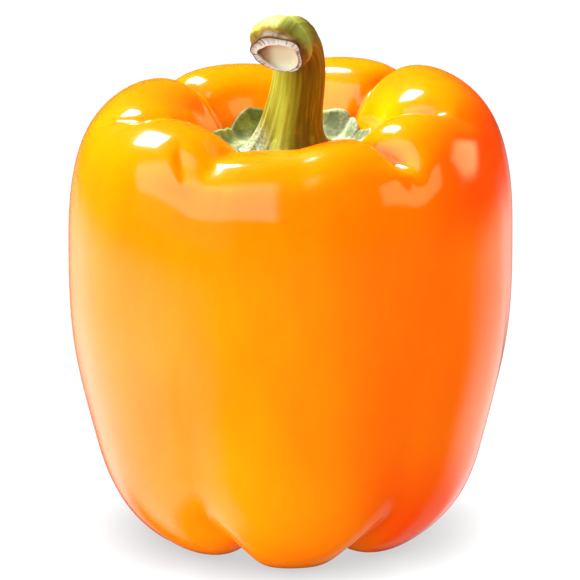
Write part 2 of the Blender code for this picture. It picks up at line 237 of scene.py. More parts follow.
# %% Outline of a lobe
WAIST_RADIUS = 42.2
CREST_RADIUS = 26.2
FOOT_RADIUS = 21.5
CREST_HEIGHT = 86.9
SEAT_RADIUS = 12.0
SEAT_HEIGHT = 73.6
GATHER = 0.4
DRAWN_POINTS = 4000

LOBE_OUTLINE = (
    ("blossom end", 0.0, 7.0),
    ("underside", 9.5, 4.5),
    ("foot", FOOT_RADIUS, -0.6),
    ("heel", 31.1, 5.3),
    ("low flank", 37.7, 21.0),
    ("flank", 41.5, 39.5),
    ("waist", WAIST_RADIUS, 57.0),
    ("high flank", 41.0, 72.4),
    ("shoulder", 37.8, 80.7),
    ("brow", 32.9, 85.3),
    ("crest", CREST_RADIUS, CREST_HEIGHT),
    ("lip", 20.4, 84.4),
    ("wall", 16.2, 78.0),
    ("seat rim", SEAT_RADIUS, SEAT_HEIGHT + 0.6),
    ("seat", 0.0, SEAT_HEIGHT),
)


def lobe_outline(rings):
    """The outline as (rings, 2) points of radius and height. The points are spaced by a mix of
    the distance run and the angle turned, so they gather where the outline bends."""
    corners = np.array([point[1:] for point in LOBE_OUTLINE])
    drawn = smooth_curve(corners, np.linspace(0.0, 1.0, DRAWN_POINTS))
    run = run_along(drawn)
    heading = np.unwrap(np.arctan2(*np.gradient(drawn, axis=0).T))
    turn = np.concatenate([[0.0], np.cumsum(np.abs(np.diff(heading)))])
    measure = (1 - GATHER) * run / run[-1] + GATHER * turn / turn[-1]
    order = np.arange(DRAWN_POINTS)
    at = np.interp(np.linspace(0.0, 1.0, rings), measure, order)
    return np.stack([np.interp(at, order, drawn[:, k]) for k in (0, 1)], axis=1)


def run_at(outline, station):
    """How far along the outline a named station lies, in mm."""
    point = {name: (radius, height) for name, radius, height in LOBE_OUTLINE}[station]
    return run_along(outline)[np.argmin(np.linalg.norm(outline - point, axis=1))]


sample = lobe_outline(DRAWN_POINTS)
for name, *_ in LOBE_OUTLINE:
    print(f"{name:12s} {run_at(sample, name):6.1f} mm along")

# %% [markdown]
# Eight grooves run from the blossom end up the flank, over the crest and into the hollow. Four are
# the deep ones between the chambers; the others only dent the crest or the flank. A groove is
# sharp at its bottom and opens out softly, as flesh does when it swells on both sides of a fold.
# On the flank the flesh is tight, so the bottoms are rounder there. Near the foot the front lobe
# lies over its neighbours: its grooves draw together and are wider on their outer side.

# %% Grooves and lobes
GROOVE_STATIONS = (
    "foot", "heel", "low flank", "waist", "high flank", "shoulder", "brow", "crest", "wall",
)
GROOVE_ROUNDINGS = (0.25, 0.35, 0.7, 0.8, 0.6, 0.3, 0.25, 0.2, 0.3)
GROOVES = tuple(
    {"azimuths": azimuths, "widths": widths, "depths": depths}
    for azimuths, widths, depths in (
        # azimuths and widths in degrees at the crest and at the foot, depths at the stations in mm
        ((-27.0, -29.0), (8.5, 7.0), (4.2, 3.2, 0.9, 0.3, 0.3, 0.9, 1.8, 2.8, 1.0)),
        ((-69.0, -80.0), (5.5, 7.0), (0.3, 0.3, 0.2, 0.2, 0.1, 0.2, 0.6, 1.4, 1.2)),
        ((-131.0, -128.0), (5.5, 7.0), (4.2, 3.4, 1.2, 0.8, 1.4, 3.2, 3.9, 3.7, 1.4)),
        ((180.0, 180.0), (11.0, 11.0), (0.3, 0.3, 0.3, 0.4, 0.6, 1.6, 2.1, 2.4, 0.8)),
        ((134.0, 132.0), (5.0, 7.0), (4.2, 3.4, 1.2, 0.8, 1.4, 3.6, 4.4, 4.2, 1.4)),
        ((74.0, 90.0), (5.0, 8.0), (0.8, 0.8, 0.6, 0.6, 0.3, 0.1, 1.0, 3.6, 2.4)),
        ((38.0, 35.0), (5.0, 8.0), (3.8, 3.0, 0.9, 0.3, 0.2, 0.9, 2.8, 3.8, 1.4)),
        ((4.0, 6.0), (12.0, 12.0), (0.0, 0.1, 0.3, 0.3, 0.3, 0.5, 0.7, 0.8, 0.4)),
    )
)
FOOT_CURL = 0.3
FOOT_CURL_HEIGHT = 11.0
FOOT_SPLAY = 0.45
FRONT_HALF = 90.0
LOBES = (
    {"azimuth": -10.0, "rise": -3.6, "bulge": -0.4, "tuck": 0.0},
    {"azimuth": 23.0, "rise": -1.6, "bulge": -0.3, "tuck": 0.0},
    {"azimuth": 58.0, "rise": 0.3, "bulge": 0.4, "tuck": 0.4},
    {"azimuth": 108.0, "rise": 2.1, "bulge": 0.5, "tuck": 0.0},
    {"azimuth": 157.0, "rise": 0.0, "bulge": 0.2, "tuck": 0.2},
    {"azimuth": -157.0, "rise": -1.4, "bulge": 0.0, "tuck": 0.2},
    {"azimuth": -104.0, "rise": -0.2, "bulge": 0.0, "tuck": 0.0},
    {"azimuth": -48.0, "rise": -0.6, "bulge": 0.1, "tuck": 0.3},
)
LOBE_SPREAD = 22.0
RISE_START_HEIGHT = 40.0
TUCK_HEIGHT = 18.0


def by_station(outline, values, ends):
    """Values given at the groove stations, spread along the outline: v + (next v - v) * e,
    where e is the eased share of the way to the next station. The poles have the value ends."""
    run = run_along(outline)
    knots = np.array([0.0, *(run_at(outline, name) for name in GROOVE_STATIONS), run[-1]])
    values = np.array((ends, *values, ends))
    span = np.clip(np.searchsorted(knots, run, side="right") - 1, 0, len(knots) - 2)
    share = eased((run - knots[span]) / (knots[span + 1] - knots[span]))
    return values[span] + share * (values[span + 1] - values[span])


def valley(across, rounding):
    """exp(r - sqrt(x^2 + r^2)): 1 in the middle, dying away on both sides, with its bottom
    rounded by r."""
    return np.exp(rounding - np.sqrt(across**2 + rounding**2))


def lobe_value(azimuth, key):
    """The lobes' own values, blended round the fruit with bell-shaped weights."""
    weights = [np.exp(-((turned(azimuth - lobe["azimuth"]) / LOBE_SPREAD) ** 2)) for lobe in LOBES]
    return sum(weight * lobe[key] for weight, lobe in zip(weights, LOBES)) / sum(weights)


def fruit_meridians(azimuths, rings):
    """The fruit's radius and height, shaped (azimuths, rings), and how far it is pressed in.

    The common outline is lifted and pushed out by the lobes, then each groove presses it inwards
    along its normal. The feet are flattened where they meet the ground.
    """
    outline = lobe_outline(rings)
    radius, height = outline.T
    along = unit(np.gradient(outline, axis=0))
    crest = np.argmax(height)
    up_share = eased((height - RISE_START_HEIGHT) / (CREST_HEIGHT - RISE_START_HEIGHT))
    off_seat = eased((radius - SEAT_RADIUS) / (CREST_RADIUS - SEAT_RADIUS))
    rise_share = np.where(np.arange(rings) > crest, off_seat, up_share)
    down_share = np.clip(1.0 - height / CREST_HEIGHT, 0.0, 1.0)
    under = eased(1.0 - height / FOOT_CURL_HEIGHT)
    azimuths = np.asarray(azimuths, float)[:, None]
    pressed = np.zeros((len(azimuths), rings))
    rounding = by_station(outline, GROOVE_ROUNDINGS, GROOVE_ROUNDINGS[-1])
    for groove in GROOVES:
        middle, width = (
            top + (bottom - top) * down_share for top, bottom in (groove["azimuths"], groove["widths"])
        )
        if abs(groove["azimuths"][0]) < FRONT_HALF:
            middle = middle * (1.0 - FOOT_CURL * under)
            outer = np.sign(turned(azimuths - middle) * middle)
            width = width * (1.0 + FOOT_SPLAY * under * outer)
        across = turned(azimuths - middle) / width
        pressed += by_station(outline, groove["depths"], 0.0) * valley(across, rounding)
    shaped = pressed + small_forms(azimuths, run_along(outline), radius)
    low_share = eased(1.0 - height / TUCK_HEIGHT) * np.minimum(radius / FOOT_RADIUS, 1.0)
    push = lobe_value(azimuths, "bulge") * (radius / WAIST_RADIUS) ** 2
    push = push - lobe_value(azimuths, "tuck") * low_share
    lift = lobe_value(azimuths, "rise") * rise_share
    new_radius = radius - along[:, 1] * shaped + push
    new_height = height + along[:, 0] * shaped + lift
    return np.maximum(new_radius, 0.0), np.maximum(new_height, 0.0), pressed


print(len(GROOVES), "grooves and", len(LOBES), "lobes, the highest raised by",
      max(lobe["rise"] for lobe in LOBES), "mm")

# %% [markdown]
# Small forms come on top: short creases where a lobe folds over its neighbour, soft swells that
# lead the light over the shoulder, a few tiny pits, and a wave so faint that only the edges of the
# reflections show it. A bump map could carry them, but it wouldn't change the outline or the
# folds' own shadows. Each is placed by azimuth and distance along the outline, and fades out.

# %% Creases, swells and pits
CREASES = (
    # start (azimuth, run), end (azimuth, run), depth, width on the left and on the right in mm
    {"start": (-41.5, 121.5), "end": (-31.5, 112.0), "depth": 1.0, "widths": (1.0, 3.0)},
    {"start": (-20.0, 118.0), "end": (-20.0, 104.0), "depth": 0.15, "widths": (0.6, 0.9)},
    {"start": (38.0, 127.0), "end": (40.5, 112.5), "depth": 2.4, "widths": (1.8, 1.6)},
    {"start": (-61.0, 128.0), "end": (-82.0, 115.0), "depth": 0.9, "widths": (2.0, 2.0)},
)
SWELLS = (
    # middle (azimuth, run), sizes round and along in mm, height out of the surface in mm
    ((-53.0, 113.0), (9.0, 7.0), 0.5),
    ((102.0, 135.0), (10.0, 5.0), 1.3),
)
PITS = (
    # middle (azimuth, run), radius in mm, depth in mm
    ((-62.6, 91.2), 0.6, 0.10),
    ((-30.0, 73.9), 1.6, 0.12),
)
CREASE_ROUNDING = 0.15
CREASE_FADE = 1.4
CREASE_REACH = (-0.5, 1.5)
WAVE_SEED = 31
WAVE_LENGTH = 5.0
WAVE_HEIGHT = 0.05


def mm_round(angle, radius):
    """The length in mm of an angle in degrees, round the fruit: angle * radius * pi / 180."""
    return turned(angle) * np.maximum(radius, 1.0) * math.pi / 180.0


def bell(azimuths, run, radius, middle, sizes):
    """exp(-(u / first size)^2 - (v / second size)^2), for the distances u round the fruit and v
    along the outline from a middle given as (azimuth, run)."""
    u, v = mm_round(azimuths - middle[0], radius), run - middle[1]
    return np.exp(-((u / sizes[0]) ** 2) - (v / sizes[1]) ** 2)


def small_forms(azimuths, run, radius):
    """How far creases and pits press the surface in, less how far swells push it out.

    Across a crease the depth dies away as a valley of distance / width, and along it as an eased
    rise and fall. Swells and pits are bells.
    """
    turn = np.radians(azimuths)
    where = (radius * np.sin(turn), radius * np.cos(turn), run)
    total = WAVE_HEIGHT * ripple(WAVE_SEED, *(c / WAVE_LENGTH for c in where))
    for crease in CREASES:
        (az0, run0), (az1, run1) = crease["start"], crease["end"]
        t = (run - run0) / (run1 - run0)
        across = mm_round(azimuths - az0 - (az1 - az0) * np.clip(t, *CREASE_REACH), radius)
        width = np.where(across < 0, *crease["widths"])
        share = eased(1.0 - np.abs(2 * t - 1) / CREASE_FADE)
        total += crease["depth"] * share * valley(across / width, CREASE_ROUNDING)
    for middle, sizes, height in SWELLS:
        total -= height * bell(azimuths, run, radius, middle, sizes)
    for middle, size, depth in PITS:
        total += depth * bell(azimuths, run, radius, middle, (size, size))
    return total


print(len(CREASES), "creases,", len(SWELLS), "swells and", len(PITS), "pits")

# %% [markdown]
# Now the formulas are read at many azimuths and many points of the outline, and the points are
# joined into one closed skin. It is made a hair's breadth smaller than the formulas say, so that
# it stays within the solid fruit's box. Two values go with it for the finish: how deep a point
# lies in a groove, and how far inside the stalk hollow it is. The finish uses them to paint shade
# into the grooves and light into the hollow.

# %% Make the fruit
FRUIT_SIDES = 420
FRUIT_RINGS = 226
SKIN_INSET = 0.05
HOLLOW_WALL = 9.0
HOLLOW_START = 0.4
DEEPEST_GROOVE = 5.0
cad_low, cad_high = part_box("fruit")

azimuths = even_turns(FRUIT_SIDES)
radius, height, pressed = fruit_meridians(azimuths, FRUIT_RINGS)
points = around(azimuths[:, None], radius, height).swapaxes(0, 1)
low, high = points.reshape(-1, 3).min(axis=0), points.reshape(-1, 3).max(axis=0)
shift = (np.array(cad_low) + np.array(cad_high)) / 2 / MM - (low + high) / 2
shift[2] = 0.0
middle_height = CREST_HEIGHT / 2
shrink = 1.0 - SKIN_INSET / WAIST_RADIUS
points = (points - (0, 0, middle_height)) * shrink + (0, 0, middle_height) + shift
outline = lobe_outline(FRUIT_RINGS)
past_crest = (run_along(outline) - run_at(outline, "crest")) / HOLLOW_WALL - HOLLOW_START
inside = np.broadcast_to(eased(past_crest)[:, None], pressed.T.shape)
fruit = closed_grid(
    "pepper_fruit", points[1:-1], points[[0, -1], 0],
    groove=pressed.T[1:-1] / DEEPEST_GROOVE, inside=inside[1:-1].copy(),
)
fruit_low = points.reshape(-1, 3).min(axis=0)
print("fruit from", fruit_low.round(2), "to", points.reshape(-1, 3).max(axis=0).round(2), "mm")

# %% [markdown]
# ## The calyx
#
# The calyx is the green star that the flower left round the stem: a flat hub and six sepals that lie in
# the stalk hollow and lift off it at their edges, dry and frosted. It follows the hollow's wall, so
# the same fruit formula gives the height under each of its points, and its own outline gives
# how far it reaches.

# %% Make the calyx
CALYX_GAP = 0.3
HUB_RADIUS = 9.8
HUB_HEIGHT = 75.6
SEPAL_NOTCH_RADIUS = 14.3
SEPAL_TIP_RADIUS = 16.0
SEPAL_THICKNESS = 1.5
SEPAL_THINNING = 0.25
HUB_LEAST_THICKNESS = 0.9
SEPAL_EDGE = 0.35
SEPAL_POINT = 1.1
NOTCH_LIFT = 0.65
SEPALS = (
    {"azimuth": -150.0, "reach": -0.2, "lift": 2.0},
    {"azimuth": -92.0, "reach": -1.2, "lift": 1.5},
    {"azimuth": -36.0, "reach": -0.9, "lift": 1.4},
    {"azimuth": 30.0, "reach": -1.0, "lift": 1.4},
    {"azimuth": 92.0, "reach": -0.5, "lift": 1.2},
    {"azimuth": 136.0, "reach": 0.3, "lift": 1.9},
)
LIFT_POWER = 3
LUMP_SEED = 11
LUMP_HEIGHT = 0.22
LUMP_SCALE = 0.9
LUMP_SINK = 0.1
CALYX_SIDES = 288
CALYX_RINGS = 40
WALL_POINTS = 400


def hollow_height(azimuths, radii):
    """The height of the hollow's wall at each azimuth and radius, read off the meridians."""
    radius, height, _ = fruit_meridians(azimuths, WALL_POINTS)
    found = np.empty(radii.shape)
    for i in range(len(azimuths)):
        crest = np.argmax(height[i])
        found[i] = np.interp(radii[i], radius[i, crest:][::-1], height[i, crest:][::-1])
    return found


def sepal_outline(azimuths):
    """The calyx's outer radius and the lift of its edge. Between two tips both fall back to the
    notch half-way between them, in curves that come to a point at each tip."""
    tips = np.array([sepal["azimuth"] for sepal in SEPALS])
    away = turned(azimuths[:, None] - tips)
    nearest = np.argmin(np.abs(away), axis=1)
    offset = away[np.arange(len(azimuths)), nearest]
    spacing = turned(tips[:, None] - tips)
    ahead = np.where(spacing > 0, spacing, 360.0).min(axis=0)
    behind = np.where(spacing < 0, -spacing, 360.0).min(axis=0)
    half = np.where(offset > 0, ahead[nearest], behind[nearest]) / 2
    share = np.clip(1.0 - np.abs(offset) / half, 0.0, 1.0) ** SEPAL_POINT
    reach = np.array([sepal["reach"] for sepal in SEPALS])[nearest]
    lift = np.array([sepal["lift"] for sepal in SEPALS])[nearest]
    outer = SEPAL_NOTCH_RADIUS + (SEPAL_TIP_RADIUS + reach - SEPAL_NOTCH_RADIUS) * share
    return outer, lift * (NOTCH_LIFT + (1.0 - NOTCH_LIFT) * share)


azimuths = even_turns(CALYX_SIDES)
outer, lift = (values[:, None] for values in sepal_outline(azimuths))
shares = np.linspace(0.0, 1.0, CALYX_RINGS + 1)[1:]
radii = outer * shares
under = hollow_height(azimuths, radii) + CALYX_GAP + lift * shares**LIFT_POWER
draped = under + SEPAL_THICKNESS * (1.0 - SEPAL_THINNING * shares)
off_hub = eased((radii - HUB_RADIUS) / (outer - HUB_RADIUS))
top = np.maximum(HUB_HEIGHT + (draped - HUB_HEIGHT) * off_hub, under + HUB_LEAST_THICKNESS)
flat_way = np.radians(azimuths)[:, None]
flat = (radii * np.sin(flat_way) * LUMP_SCALE, radii * np.cos(flat_way) * LUMP_SCALE)
lumps = LUMP_HEIGHT * ripple(LUMP_SEED, *flat, waves=9, finest=2.6) * off_hub
top = top + lumps - LUMP_SINK * off_hub
rings = [around(azimuths, radii[:, i], under[:, i]) for i in range(CALYX_RINGS)]
rings.append(around(azimuths, outer[:, 0] + SEPAL_EDGE, (under[:, -1] + top[:, -1]) / 2))
rings += [around(azimuths, radii[:, i], top[:, i]) for i in reversed(range(CALYX_RINGS))]
reach = np.concatenate([shares, [1.0], shares[::-1]])
grid = np.stack(rings) + shift
calyx = closed_grid(
    "pepper_calyx",
    grid,
    [np.array((0.0, 0.0, z)) + shift for z in (SEAT_HEIGHT + CALYX_GAP, HUB_HEIGHT)],
    reach=np.broadcast_to(reach[:, None], grid.shape[:2]).copy(),
)

# %% [markdown]
# ## The stem
#
# The stem is a ribbed stalk with a flared foot. It leans a little, hooks over towards the viewer and
# ends in the face where it was cut off the plant: a jagged edge of skin, a pale ring of fibres, and
# the sunken pith. A curve with a bevel could carry a round section, but ribs and a cut face that isn't
# round need a section that changes on the way, so rings of points are carried along the stem's
# middle line. Each point also keeps where it would be if the stem were straight, so that streaks
# can follow it round the hook.

# %% Stem line and section
STEM_GAP = 0.3
STEM_RADIUS = 4.8
STEM_FLARES = ((2.9, 2.0), (1.9, 7.0))
KNOB_RISE = 1.55
KNOB_BACK = 3.1
KNOB_REACH = 4.4
KNOB_REACH_BEHIND = 2.3
KNOB_UNDERCUT = 0.8
RIB_COUNT = 5
RIB_RISE = 0.06
RIB_FADE = 0.6
RIB_TURN = 0.4
STEM_FOOT = (0.1, 0.5)
HOOK_START = (1.9, 1.5, 92.3)
HOOK_RADIUS = 6.0
HOOK_TURN = 120.0
HOOK_AZIMUTH = -26.0
HOOK_STRAIGHT = 1.75
STEM_SIDES = 240
SHAFT_RINGS = 90
HOOK_RINGS = 80
END_RINGS = 14


def stem_line():
    """The middle line and its direction: a shaft that leans over as an eased change, an
    arc of a circle in the hook's own upright plane, and a short straight end."""
    bend = np.array(HOOK_START)
    foot = np.array([*STEM_FOOT, HUB_HEIGHT + STEM_GAP])
    t = np.linspace(0.0, 1.0, SHAFT_RINGS, endpoint=False)[:, None]
    lean = np.array([1.0, 1.0, 0.0])
    shaft = foot + (bend - foot) * (lean * eased(t) + (1 - lean) * t)
    shaft_way = (bend - foot) * (lean * 6 * t * (1 - t) + (1 - lean))
    azimuth = math.radians(HOOK_AZIMUTH)
    over = np.array([math.sin(azimuth), -math.cos(azimuth), 0.0])
    up = np.array([0.0, 0.0, 1.0])
    turn = np.radians(np.linspace(0.0, HOOK_TURN, HOOK_RINGS))[:, None]
    hook = bend + HOOK_RADIUS * (over * (1 - np.cos(turn)) + up * np.sin(turn))
    hook_way = over * np.sin(turn) + up * np.cos(turn)
    end = hook[-1] + hook_way[-1] * np.linspace(0.0, HOOK_STRAIGHT, END_RINGS + 1)[1:, None]
    end_way = np.repeat(hook_way[-1:], END_RINGS, axis=0)
    return np.concatenate([shaft, hook, end]), unit(np.concatenate([shaft_way, hook_way, end_way]))


def stem_radius(run, length, turn):
    """The radius at a distance along the stem and at the angles turn round it.

    It is (shaft + flares) * ribs + knob. The flares at the foot die away exponentially. The ribs
    are a cosine round the stem. The knob is an eased bell along it, less on the inner side.
    """
    flare = sum(extra * np.exp(-run / reach) for extra, reach in STEM_FLARES)
    rib = 1.0 + RIB_RISE * (1.0 - RIB_FADE * run / length) * np.cos(RIB_COUNT * turn + RIB_TURN)
    before = length - run - KNOB_BACK
    reach = KNOB_REACH_BEHIND if before > 0 else KNOB_REACH
    knob = KNOB_RISE * eased(1.0 - abs(before) / reach)
    inner_side = np.clip(np.sin(turn), 0.0, 1.0) ** 2
    return (STEM_RADIUS + flare) * rib + knob * (1.0 - KNOB_UNDERCUT * inner_side)


print("stem length in mm:", run_along(stem_line()[0])[-1].round(1))

# %% [markdown]
# The cut end isn't round. Its edge is given as a few radii round its own middle, which lies a
# little off the stem's, and joined by a smooth closed curve. The same is done for the pith.

# %% Cut end
CUT_MIDDLE = (0.6, -1.1)
CUT_EDGE = (
    (-175.0, 5.5), (-147.0, 4.5), (-111.0, 4.6), (-86.0, 4.5), (-63.0, 4.8), (-49.0, 5.8),
    (-35.0, 6.6), (-11.0, 5.3), (19.0, 5.3), (48.0, 5.2), (76.0, 4.6), (113.0, 4.7), (152.0, 5.4),
)
PITH_MIDDLE = (0.8, -0.6)
PITH_EDGE = (
    (-175.0, 4.3), (-146.0, 3.1), (-110.0, 2.9), (-85.0, 2.95), (-48.0, 4.1), (-26.0, 4.6),
    (25.0, 4.0), (51.0, 3.7), (91.0, 3.65), (120.0, 3.45), (148.0, 3.65),
)
CUT_SMOOTHING = 8.0


def closed_radius(stations, angles):
    """A smooth radius round a full turn through (angle, radius) stations: straight lines
    between them, averaged with the weights exp(-(angle / CUT_SMOOTHING)^2)."""
    at, values = np.array(stations).T
    order = np.argsort(at)
    fine = np.arange(-180.0, 180.0)
    radius = np.interp(fine, at[order], values[order], period=360.0)
    weights = np.exp(-((turned(fine[:, None] - fine) / CUT_SMOOTHING) ** 2))
    radius = weights @ radius / weights.sum(axis=1)
    return np.interp(turned(angles), fine, radius, period=360.0)


print(len(CUT_EDGE), "stations round the cut,", len(PITH_EDGE), "round the pith")

# %% [markdown]
# A section needs two directions across the line. The first is square to the line and, round the
# hook, to the hook's upright plane. The second is square to both. Over the last two millimetres
# the stalk's section changes smoothly into the cut's. Fine ribs, calmer on the knob, and low lumps
# make the stalk fibrous.

# %% Carry the section along the line
CUT_LENGTH = 2.2
STEM_INSET = 0.17
FINE_RIBS = (
    # height as a share of the radius, count, turn for each mm of run, start
    (0.012, 17, 0.15, 0.0),
    (0.008, 31, -0.1, 1.0),
)
CALM_KNOB = 0.3
KNOB_LENGTH = 5.0
STALK_SEED = 5
STALK_LUMPS = 0.014
STALK_LUMP_SCALES = (2.2, 2.2, 0.35)

line, ways = stem_line()
azimuth = math.radians(HOOK_AZIMUTH)
side = np.array([math.cos(azimuth), math.sin(azimuth), 0.0])
side = unit(side - ways * (ways @ side)[:, None])
across = np.cross(side, ways)
run = run_along(line)
angles = even_turns(STEM_SIDES)
turn = np.radians(angles)
cosine, sine = np.cos(turn), np.sin(turn)
cut_radius = closed_radius(CUT_EDGE, angles)
pith_radius = closed_radius(PITH_EDGE, angles)


def section(i, radius, ahead=0.0, off=(0.0, 0.0)):
    """The ring middle + r (side cos t + across sin t) at station i of the line, moved ahead
    along it and off it to the side."""
    middle = line[i] + np.reshape(ahead, (-1, 1)) * ways[i] + side[i] * off[0] + across[i] * off[1]
    radius = np.broadcast_to(radius, angles.shape)[:, None]
    return middle + radius * (side[i] * cosine[:, None] + across[i] * sine[:, None])


def add_ring(ring, radius, height, share):
    """Keep a ring, and for each of its points (r cos t, r sin t, height), its place if the stem
    were straight, and its share of the way in from the cut's edge."""
    rings.append(ring)
    straight.append(np.stack(np.broadcast_arrays(radius * cosine, radius * sine, height), axis=-1))
    inward.append(np.full(STEM_SIDES, share))


rings, straight, inward = [], [], []
for i in range(len(line)):
    fine = sum(
        rise * np.cos(count * turn + start + twist * run[i]) for rise, count, twist, start in FINE_RIBS
    )
    behind_knob = eased((run[-1] - run[i] - KNOB_LENGTH) / KNOB_LENGTH)
    fine = fine * (CALM_KNOB + (1.0 - CALM_KNOB) * behind_knob)
    places = (scale * value for scale, value in zip(STALK_LUMP_SCALES, (cosine, sine, run[i])))
    lumps = STALK_LUMPS * ripple(STALK_SEED, *places)
    whole = stem_radius(run[i], run[-1], turn) * (1.0 + fine + lumps) - STEM_INSET
    share = eased(1.0 - (run[-1] - run[i]) / CUT_LENGTH)
    radius = whole + (cut_radius - whole) * share
    add_ring(section(i, radius, off=np.array(CUT_MIDDLE) * share), radius, run[i], 0.0)
print(len(rings), "rings up to the cut")

# %% [markdown]
# The cut face goes on from the last ring: over a torn lip, in across the fibres to a raised rim
# round the pith, and down onto the sunken pith. One seeded wave makes the lip and the rim jagged,
# and the face between them half as much. A fainter one roughens the pith.

# %% Close the cut face
FACE = (
    # share of the way in from the edge to the pith, height off the stem's last ring in mm
    (0.02, 0.30), (0.08, 0.48), (0.16, 0.42), (0.3, 0.3), (0.5, 0.25), (0.7, 0.3), (0.85, 0.45),
    (0.95, 0.6), (1.0, 0.55), (1.06, 0.2), (1.12, -0.1),
)
PITH_FLOOR = (
    # share of the pith's radius, height off the stem's last ring in mm
    (0.8, -0.35), (0.6, -0.5), (0.4, -0.55), (0.2, -0.55),
)
LIP_SHARE, RIM_SHARE = 0.2, 0.8
FACE_CALM = 0.5
JAG_SEED = 21
JAG_SCALE = 5
JAG_HEIGHT = 0.18
JAG_SIDEWAYS = 0.6
PITH_SEED = 8
PITH_SCALE = 6
PITH_ROUGHNESS = 0.05
PITH_NARROWING = 0.93

jag = JAG_HEIGHT * ripple(JAG_SEED, JAG_SCALE * cosine, JAG_SCALE * sine, waves=10, finest=4.0)
for share, ahead in FACE:
    radius = cut_radius + (pith_radius - cut_radius) * share
    middle = np.array(CUT_MIDDLE) + (np.array(PITH_MIDDLE) - CUT_MIDDLE) * min(share, 1.0)
    rough = jag * (1.0 if share < LIP_SHARE or share > RIM_SHARE else FACE_CALM)
    ring = section(-1, radius + rough * JAG_SIDEWAYS, ahead + rough, middle)
    add_ring(ring, radius, run[-1] + ahead, share)
for share, ahead in PITH_FLOOR:
    places = (PITH_SCALE * share * cosine, PITH_SCALE * share * sine)
    rough = PITH_ROUGHNESS * ripple(PITH_SEED, *places, waves=8, finest=3.0)
    ring = section(-1, pith_radius * PITH_NARROWING * share, ahead + rough, PITH_MIDDLE)
    add_ring(ring, pith_radius * share, run[-1], 2.0 - share)
last = section(-1, 0.0, PITH_FLOOR[-1][1], PITH_MIDDLE)[0]
stem = closed_grid(
    "pepper_stem",
    np.stack(rings) + shift,
    [line[0] + shift, last + shift],
    straight=np.stack(straight),
    inward=np.stack(inward),
)

# %% [markdown]
# ## Finishes
#
# All three finishes are node trees on one Principled shader each, painted by noise and by each
# piece's own coordinates. A few small helpers keep the trees readable.


# %% Node helpers
def new_tree(name):
    """A new material, and its node tree with a Principled shader."""
    material = bpy.data.materials.new(name)
    material.use_nodes = True
    return material, material.node_tree, material.node_tree.nodes["Principled BSDF"]


def add(tree, kind, sockets=None, output=0, **settings):
    """Add a node, set its settings and its sockets, and return one of its outputs. A socket's
    new value is a number or colour, or another node's output, which is then linked."""
    new = tree.nodes.new("ShaderNode" + kind)
    for key, value in settings.items():
        setattr(new, key, value)
    for key, value in (sockets or {}).items():
        if isinstance(value, bpy.types.NodeSocket):
            tree.links.new(value, new.inputs[key])
        else:
            new.inputs[key].default_value = value
    return new.outputs[output]


def colour(tree, share, first, second):
    """first + (second - first) * share, for colours."""
    first, second = ((*c, 1.0) if isinstance(c, tuple) else c for c in (first, second))
    return add(tree, "Mix", {0: share, 6: first, 7: second}, output=2, data_type="RGBA")


def fade(tree, value, low, high):
    """An eased change from 0 where the value is low to 1 where it is high."""
    sockets = {"Value": value, "From Min": low, "From Max": high}
    return add(tree, "MapRange", sockets, interpolation_type="SMOOTHSTEP")


def noise(tree, vector, scale, detail=2.0, roughness=0.5):
    """Blender's noise on the given coordinates, from 0 to 1."""
    sockets = {"Vector": vector, "Scale": scale, "Detail": detail, "Roughness": roughness}
    return add(tree, "TexNoise", sockets)


def stretched(tree, vector, scales):
    """The coordinates times one scale for each axis."""
    return add(tree, "Mapping", {"Vector": vector, "Scale": scales})


def times(tree, first, second):
    """The product of two values."""
    return add(tree, "Math", {0: first, 1: second}, operation="MULTIPLY")


def brighter(tree, tint, factors):
    """A colour with its red, green and blue each times a factor."""
    return add(tree, "Mix", {0: 1.0, 6: tint, 7: (*factors, 1.0)}, output=2, data_type="RGBA",
               blend_type="MULTIPLY")


def bump(tree, height, strength, distance):
    """A normal tilted by a height pattern."""
    sockets = {"Height": height, "Strength": strength, "Distance": distance}
    return add(tree, "Bump", sockets)


def ramp(tree, value, stops):
    """Colours given at places on a scale, with straight changes between them."""
    first, last = stops[0][0], stops[-1][0]
    share = add(tree, "MapRange", {"Value": value, "From Min": first, "From Max": last})
    made = add(tree, "ValToRGB", {"Fac": share}).node
    elements = made.color_ramp.elements
    for at, tint in stops[1:-1]:
        elements.new((at - first) / (last - first)).color = (*tint, 1.0)
    elements[0].color, elements[-1].color = (*stops[0][1], 1.0), (*stops[-1][1], 1.0)
    return made.outputs[0]


def spot(tree, vector, middle, size):
    """1 at a point, and an eased fall to 0 at a distance of size from it."""
    far = add(tree, "VectorMath", {0: vector, 1: middle}, output=1, operation="DISTANCE")
    return fade(tree, far, size, 0.0)


# %% [markdown]
# The skin is a thin waxy film over wet flesh: a sharp reflection on top, and light that goes
# into the flesh and comes out again a little redder, which is what subsurface scattering does. The
# base colour also carries painted light and shade. It is deeper orange on the left and on top as
# painted shade against the strong lamps there, and more amber on the front. It is amber near its
# foot and most amber in the hollow as painted light. It is a little deeper on the right, and
# reddest on the right shoulder, at the right foot and in the folds, as painted shade. A pale streak
# low on the front left is a painted highlight. Each colour goes over the last one, through a mask
# made of places in metres, of an attribute or of noise.

# %% Skin finish
skin, tree, shader = new_tree("pepper_skin")
where = add(tree, "TexCoord", output=3)
x = add(tree, "SeparateXYZ", {"Vector": where}, output=0)
z = add(tree, "SeparateXYZ", {"Vector": where}, output=2)
groove = add(tree, "Attribute", attribute_name="groove", output=2)
inside = add(tree, "Attribute", attribute_name="inside", output=2)
